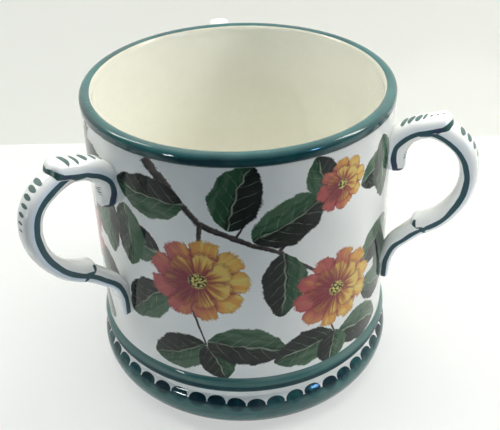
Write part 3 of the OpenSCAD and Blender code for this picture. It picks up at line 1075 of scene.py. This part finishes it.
class CUP_OT_foot(CupOperator):
    """Turn the foot with its round, flange and recess"""
    bl_idname = "cup.foot"
    bl_label = "Foot"

    def execute(self, context):
        sizes = context.scene.cup_sizes
        wall, full = sizes.wall_radius, FOOT_HIGH.x
        belly, tuck = sizes.foot_belly, sizes.foot_tuck
        cove = sizes.foot_cove
        cove_x = wall + cove * math.cos(COVE_ANGLE)
        cove_z = FOOT_HIGH.z + cove * math.sin(COVE_ANGLE)
        past, rise = cove_x - full, cove_z - belly
        upper = (past * past + rise * rise - cove * cove) / (2 * (cove - past))
        lower = (belly * belly + tuck * tuck) / (2 * tuck)
        inner = full - tuck - sizes.foot_ring
        flange = WALL_LOW.z
        top_angle = math.degrees(math.atan2(rise, upper + past))
        low_angle = math.degrees(math.asin(belly / lower))
        sunk = wall - FOOT_SUNK
        outline = [(inner, flange), (inner, RING_BEVEL), (inner + RING_BEVEL, 0)]
        outline += arc((full - lower, belly), lower, -low_angle, 0, 16)
        outline += arc((full - upper, belly), upper, 0, top_angle, 12)[1:]
        outline += arc((cove_x, cove_z), cove, 180 + top_angle, 180 + math.degrees(COVE_ANGLE), 8)[1:]
        outline += [(sunk, FOOT_HIGH.z), (sunk, flange), (inner, flange)]
        piece = turned("foot_plinth_glazed", outline)
        dress(piece, "green_glaze", "foot_plinth", foot_glaze())
        return {"FINISHED"}


# Stations along the side line of each strap: the share of the handle's reach, the share of its height, and
# the half width and the outer and inner half thickness as shares of the strap's own
STRAPS = {
    "scroll": [
        (0.078, 0.728, 0.78, 0.86, 0.96), (0.056, 0.780, 0.88, 1.00, 1.06), (0.089, 0.844, 0.94, 1.38, 1.06),
        (0.184, 0.903, 0.98, 1.30, 1.00), (0.311, 0.942, 1.00, 1.12, 1.00), (0.444, 0.960, 1.03, 1.07, 1.00),
        (0.640, 0.987, 1.06, 1.03, 1.00)],
    "grip": [
        (0.311, 0.942, 0.94, 0.88, 0.94), (0.444, 0.960, 0.99, 0.95, 0.98), (0.590, 0.951, 1.00, 1.10, 0.94),
        (0.733, 0.921, 1.00, 1.16, 0.86), (0.867, 0.877, 0.98, 1.14, 0.80), (0.962, 0.816, 0.96, 1.06, 0.78),
        (1.000, 0.741, 0.95, 1.00, 0.77), (0.996, 0.670, 0.95, 0.97, 0.76), (0.949, 0.590, 0.96, 0.95, 0.76),
        (0.856, 0.514, 0.98, 0.93, 0.78), (0.722, 0.441, 1.00, 0.88, 0.90), (0.567, 0.392, 1.02, 0.87, 1.04),
        (0.450, 0.377, 1.00, 0.88, 1.00)],
    "tail": [
        (0.600, 0.414, 0.93, 0.80, 0.78), (0.567, 0.392, 1.02, 0.87, 0.80), (0.455, 0.362, 1.00, 0.84, 0.80),
        (0.362, 0.326, 0.98, 0.80, 0.80), (0.270, 0.286, 0.96, 0.76, 0.82), (0.185, 0.248, 0.94, 0.72, 0.86),
        (0.121, 0.204, 0.90, 0.66, 0.90), (0.082, 0.154, 0.85, 0.60, 0.90), (0.058, 0.106, 0.80, 0.54, 0.90),
        (0.050, 0.022, 0.72, 0.44, 0.90)],
}
# Length of the rounded start and end of each strap
STRAP_ENDS = {"scroll": (0.0046, 0.0046), "grip": (0.0, 0.0042), "tail": (0.0, 0.0040)}
# Direction of each handle in degrees
HANDLES = {"left": 214, "right": 336, "back": 90}
# Points round a strap's section
RING_SIDES = 40
# Power of the curve of a strap's section: 2 would be an ellipse
SECTION_POWER = 3
# Rings from one station of a strap to the next, and on a rounded end
STATION_STEPS = 12
END_STEPS = 8
# Share of a step between stations over which a strap's heading is taken
HEADING_STEP = 0.02
# Share of the section that is left at the tip of a rounded end
TIP_SHARE = 0.001


def smooth_row(rows, t):
    """A row between stations, on the same smooth curve as the solids."""
    last = len(rows) - 1
    i = max(0, min(last - 1, math.floor(t)))
    b, c = rows[i], rows[i + 1]
    a = rows[i - 1] if i > 0 else 2 * rows[0] - rows[1]
    d = rows[i + 2] if i < last - 1 else 2 * rows[last] - rows[last - 1]
    f = t - i
    return (2 * b + (c - a) * f + (2 * a - 5 * b + 4 * c - d) * f * f + (3 * b - a - 3 * c + d) * f ** 3) / 2


def strap_rings(rows, start_end, far_end):
    """Rings of a strap: distance along it, middle, heading, half width, outer and inner half thickness."""
    rows = [Vector(row) for row in rows]
    last = len(rows) - 1
    rings = []
    run = 0.0
    before = None
    for i in range(last * STATION_STEPS + 1):
        t = i / STATION_STEPS
        row = smooth_row(rows, t)
        step = smooth_row(rows, min(last, t + HEADING_STEP)) - smooth_row(rows, max(0, t - HEADING_STEP))
        heading = Vector((step[0], step[1])).normalized()
        middle = Vector((row[0], row[1]))
        run += (middle - before).length if before else 0
        before = middle
        rings.append((run, middle, heading, row[2], row[3], row[4]))

    def rounded(ring, reach, way):
        """Rings that close an end of the strap in a quarter round."""
        distance, middle, heading, wide, outer, inner = ring
        ends = []
        for i in range(1, END_STEPS + 1):
            a = math.pi / 2 * i / END_STEPS
            k = max(math.cos(a), TIP_SHARE)
            go = way * reach * math.sin(a)
            ends.append((distance + go, middle + heading * go, heading, wide * k, outer * k, inner * k))
        return ends

    if start_end:
        rings = rounded(rings[0], start_end, -1)[::-1] + rings
    if far_end:
        rings = rings + rounded(rings[-1], far_end, 1)
    return rings


def strap_mesh(name, rings, azimuth):
    """Extrudes a ring into a straight tube, shapes it ring by ring and bends it along its route."""
    piece = primitive("circle", vertices=RING_SIDES, radius=START, fill_type="NOTHING",
                      rotation=(0, math.pi / 2, 0))
    piece.name = name
    bpy.ops.object.mode_set(mode="EDIT")
    bpy.ops.mesh.select_all(action="SELECT")
    for _ in rings[1:]:
        bpy.ops.mesh.extrude_region_move(TRANSFORM_OT_translate={"value": (START, 0, 0)})
    bpy.ops.object.mode_set(mode="OBJECT")
    mesh = piece.data
    marks = mesh.attributes.new("strap_place", "FLOAT_VECTOR", "POINT")
    round_about = Matrix.Rotation(math.radians(azimuth), 3, "Z")
    for vertex, mark in zip(mesh.vertices, marks.data):
        run, middle, heading, wide, outer, inner = rings[round(vertex.co.x / START)]
        c, s = vertex.co.y / START, vertex.co.z / START
        fuller = (abs(c) ** SECTION_POWER + abs(s) ** SECTION_POWER) ** (-1 / SECTION_POWER)
        c, s = c * fuller, s * fuller
        thick = outer if s > 0 else inner
        normal = Vector((-heading.y, heading.x))
        spot = middle + normal * (s * thick)
        vertex.co = round_about @ Vector((spot.x, wide * c, spot.y))
        edge = math.copysign(thick * abs(s) + wide * (1 - abs(c)), s)
        mark.vector = (run / MM, edge / MM, wide * c / MM)
    bpy.ops.object.mode_set(mode="EDIT")
    bpy.ops.mesh.select_all(action="SELECT")
    bpy.ops.mesh.remove_doubles(threshold=STRAP_MERGE)
    bpy.ops.mesh.fill_holes(sides=0)
    bpy.ops.mesh.normals_make_consistent(inside=False)
    bpy.ops.object.mode_set(mode="OBJECT")
    bpy.ops.object.shade_smooth()
    return piece


class CUP_OT_handles(CupOperator):
    """Build the three handles, each from scroll, grip and tail"""
    bl_idname = "cup.handles"
    bl_label = "Handles"

    def execute(self, context):
        sizes = context.scene.cup_sizes
        reaches = {"left": sizes.left_reach, "right": sizes.right_reach, "back": sizes.back_reach}
        lifts = {"left": sizes.left_lift, "right": 0, "back": 0}
        for hand, azimuth in HANDLES.items():
            for strap, stations in STRAPS.items():
                rows = [(sizes.wall_radius + row[0] * reaches[hand],
                         sizes.tail_height + row[1] * sizes.handle_height + lifts[hand],
                         row[2] * sizes.strap_width / 2,
                         row[3] * sizes.strap_thickness / 2,
                         row[4] * sizes.strap_thickness / 2) for row in stations]
                rings = strap_rings(rows, *STRAP_ENDS[strap])
                piece = strap_mesh(f"{hand}_{strap}_glazed", rings, azimuth)
                dress(piece, "white_glaze", f"{hand}_{strap}", strap_glaze(hand, strap, rings[-1][0] / MM))
        return {"FINISHED"}


# Stage

# Place of the camera before its yaw, its angles in radians, its lens and sensor in millimetres, and how near
# it sees
CAMERA_PLACE = (0.0049218, -0.4230104, 0.3750554)
CAMERA_PITCH = 0.5869863
CAMERA_ROLL = -0.0242303
CAMERA_YAW = math.radians(-6.5)
CAMERA_LENS = 59.458
CAMERA_SENSOR = 36
CAMERA_NEAR = 0.01
# Tone of the floor and of the backdrop as on a screen, and the share of it that glows
FLOOR_PAPER = ((243, 244, 242), 0.58)
BACKDROP_PAPER = ((242, 243, 236), 0.6)
FLOOR_SIZE = 30
BACKDROP_SIZE = 6
# How far behind the cup's axis the backdrop stands, and its turn
BACKDROP_BEHIND = 0.269
BACKDROP_YAW = math.radians(-7.2)
# Where the bright part of the floor ends in front of the cup's axis, and the darker tone beyond it, a painted
# shade that stands for the dim room
SET_FRONT = (0.17, 0.32)
DIM_ROOM_SHADE = (0.05, 0.055, 0.06)
# Tint and strength of the room's own light
ROOM_TINT = (0.36, 0.68, 1.0)
ROOM_LIGHT = 0.105
# Direction from the cup and height over the floor in degrees, distance, width and height, power and tint
LAMPS = {
    "left_window": (162, 46, 0.9, (0.14, 0.42), 2.3, (1, 0.985, 0.93)),
    "right_window": (-10, 34, 0.9, (0.16, 0.46), 3.4, (1, 0.98, 0.94)),
    "front_panel": (-108, 14, 0.9, (0.5, 0.2), 0.9, (0.84, 0.93, 1)),
    "left_glint": (-141, 5, 0.9, (0.10, 0.06), 1.6, (0.95, 0.98, 1)),
    "right_glint": (-48, 15, 0.9, (0.08, 0.12), 1.5, (0.2, 0.5, 1)),
    "top_panel": (50, 78, 1.0, (0.9, 0.7), 14.2, (1, 0.985, 0.95)),
}
# Point that the lamps shine on
LAMP_AIM = Vector((0, 0, 0.1))
# Panels that don't show in reflections, and glints that show only there
UNSEEN_PANELS = ("top_panel", "front_panel")
GLINTS = ("left_glint", "right_glint")
# Soft beams that lift the shade on the near sides of the handles: handle, direction, height, power and cone
BEAMS = {
    "left_beam": ("left", -58, 20, 2.4, 7.2),
    "right_beam": ("right", -112, 20, 9.0, 7.6),
}
# Where the beams meet the handles, from the cup's axis and over the floor, how far off they stand, and the
# softness of their edge
BEAM_RADIUS = 0.118
BEAM_HEIGHT = 0.13
BEAM_DISTANCE = 0.9
BEAM_BLEND = 0.7


def stage_material(name, tint, glow):
    """Pale paper that the camera sees near its own colour, and that still takes the cup's shadow.

    Past the front of the set it is painted darker, a painted shade for the dim room, so that the cup's front
    lies in soft shade.
    It is clear from behind, so that the cup shows from all round.
    """
    material, bench = new_material(name)
    tint = screen(*tint)
    ahead = bench.node("VectorMath", bench.object_place(), (math.sin(CAMERA_YAW), -math.cos(CAMERA_YAW), 0),
                       operation="DOT_PRODUCT")
    # Painted shade past the front of the set, for the dim room
    shaded_paper_tone = bench.mix(bench.wire(ahead, "Value").ease(*SET_FRONT), tint, DIM_ROOM_SHADE)
    paper = bench.node("BsdfDiffuse", shaded_paper_tone)
    path = bench.node("LightPath")
    camera = bench.wire(path, "Is Camera Ray")
    glossy = bench.wire(path, "Is Glossy Ray")
    through = bench.wire(path, "Is Transmission Ray")
    light = bench.node("Emission", bench.mix(camera, shaded_paper_tone, tint), 1.0)
    seen = camera.op("MAXIMUM", glossy).op("MAXIMUM", through)
    both = bench.node("MixShader", seen * glow, paper.outputs[0], light.outputs[0])
    behind = bench.node("NewGeometry").outputs["Backfacing"]
    clear = bench.node("BsdfTransparent")
    sheet = bench.node("MixShader", behind, both.outputs[0], clear.outputs[0])
    out = bench.node("OutputMaterial")
    bench.feed(out.inputs[0], sheet.outputs[0])
    return material


def direction(azimuth, height):
    """The way to a place that is given by its direction and its height over the floor, in degrees."""
    azimuth, height = math.radians(azimuth), math.radians(height)
    flat = math.cos(height)
    return Vector((flat * math.cos(azimuth), flat * math.sin(azimuth), math.sin(height)))


def place_lamp(kind, name, aim, away, distance, power):
    """Adds a lamp at a distance from the point that it shines on."""
    bpy.ops.object.light_add(type=kind, location=aim + away * distance)
    light = bpy.context.object
    light.name = name
    light.rotation_euler = (-away).to_track_quat("-Z", "Y").to_euler()
    light.data.energy = power
    return light


def lamp(name, azimuth, height, distance, size, power, tint):
    """A soft rectangular lamp that shines on the cup."""
    light = place_lamp("AREA", name, LAMP_AIM, direction(azimuth, height), distance, power)
    light.data.shape = "RECTANGLE"
    light.data.size, light.data.size_y = size
    light.data.color = tint
    return light


def beam(name, hand, azimuth, height, power, cone):
    """A narrow soft beam on one handle, which casts no shadow and shows in no reflection."""
    aim = direction(HANDLES[hand], 0) * BEAM_RADIUS + Vector((0, 0, BEAM_HEIGHT))
    light = place_lamp("SPOT", name, aim, direction(azimuth, height), BEAM_DISTANCE, power)
    light.data.spot_size = math.radians(cone)
    light.data.spot_blend = BEAM_BLEND
    light.data.use_shadow = False
    light.visible_glossy = False


class CUP_OT_stage(CupOperator):
    """Set the floor, backdrop, lamps, world and camera"""
    bl_idname = "cup.stage"
    bl_label = "Stage"

    def execute(self, context):
        scene = context.scene
        scene.view_settings.view_transform = "Standard"

        floor = primitive("plane", size=FLOOR_SIZE)
        floor.name = "floor"
        floor.data.materials.append(stage_material("floor_paper", *FLOOR_PAPER))
        backdrop = primitive("plane", size=BACKDROP_SIZE, rotation=(math.pi / 2, 0, 0))
        backdrop.name = "backdrop"
        behind = Matrix.Translation((0, BACKDROP_BEHIND, BACKDROP_SIZE / 2))
        backdrop.data.transform(Matrix.Rotation(BACKDROP_YAW, 4, "Z") @ behind)
        backdrop.data.materials.append(stage_material("backdrop_paper", *BACKDROP_PAPER))

        world = scene.world or bpy.data.worlds.new("room")
        scene.world = world
        world.use_nodes = True
        world.node_tree.nodes.clear()
        bench = Bench(world.node_tree)
        room = bench.node("Background", ROOM_TINT, ROOM_LIGHT)
        bench.feed(bench.node("OutputWorld").inputs[0], room.outputs[0])

        lamps = {name: lamp(name, *values) for name, values in LAMPS.items()}
        for name in UNSEEN_PANELS:
            lamps[name].visible_glossy = False
        for name in GLINTS:
            lamps[name].visible_diffuse = False
        for name, values in BEAMS.items():
            beam(name, *values)

        bpy.ops.object.camera_add()
        camera = context.object
        camera.name = "camera"
        camera.data.sensor_fit = "HORIZONTAL"
        camera.data.sensor_width = CAMERA_SENSOR
        camera.data.lens = CAMERA_LENS
        camera.data.clip_start = CAMERA_NEAR
        yaw = Matrix.Rotation(CAMERA_YAW, 4, "Z")
        tilt = Matrix.Rotation(math.pi / 2 - CAMERA_PITCH, 4, "X") @ Matrix.Rotation(CAMERA_ROLL, 4, "Z")
        camera.matrix_world = yaw @ Matrix.Translation(CAMERA_PLACE) @ tilt
        scene.camera = camera
        return {"FINISHED"}


class CUP_PT_panel(bpy.types.Panel):
    """Lists the steps that build the cup"""
    bl_idname = "CUP_PT_panel"
    bl_label = "Loving cup"
    bl_space_type = "VIEW_3D"
    bl_region_type = "UI"
    bl_category = "Cup"

    def draw(self, context):
        for step in STEPS:
            self.layout.operator(step.bl_idname)
        for group in (context.scene.cup_sizes, context.scene.glaze_colours):
            box = self.layout.box()
            for name in group.__annotations__:
                box.prop(group, name)


STEPS = (CUP_OT_stage, CUP_OT_wall, CUP_OT_base, CUP_OT_rim, CUP_OT_bead, CUP_OT_foot, CUP_OT_handles)
CLASSES = (CupSizes, GlazeColours, *STEPS, CUP_PT_panel)


def register():
    for cls in CLASSES:
        bpy.utils.register_class(cls)
    bpy.types.Scene.cup_sizes = PointerProperty(type=CupSizes)
    bpy.types.Scene.glaze_colours = PointerProperty(type=GlazeColours)


def unregister():
    del bpy.types.Scene.glaze_colours
    del bpy.types.Scene.cup_sizes
    for cls in reversed(CLASSES):
        bpy.utils.unregister_class(cls)


def main():
    register()
    bpy.ops.cup.stage()
    bpy.ops.cup.wall()
    bpy.ops.cup.base()
    bpy.ops.cup.rim()
    bpy.ops.cup.bead()
    bpy.ops.cup.foot()
    bpy.ops.cup.handles()


if __name__ == "__main__":
    main()
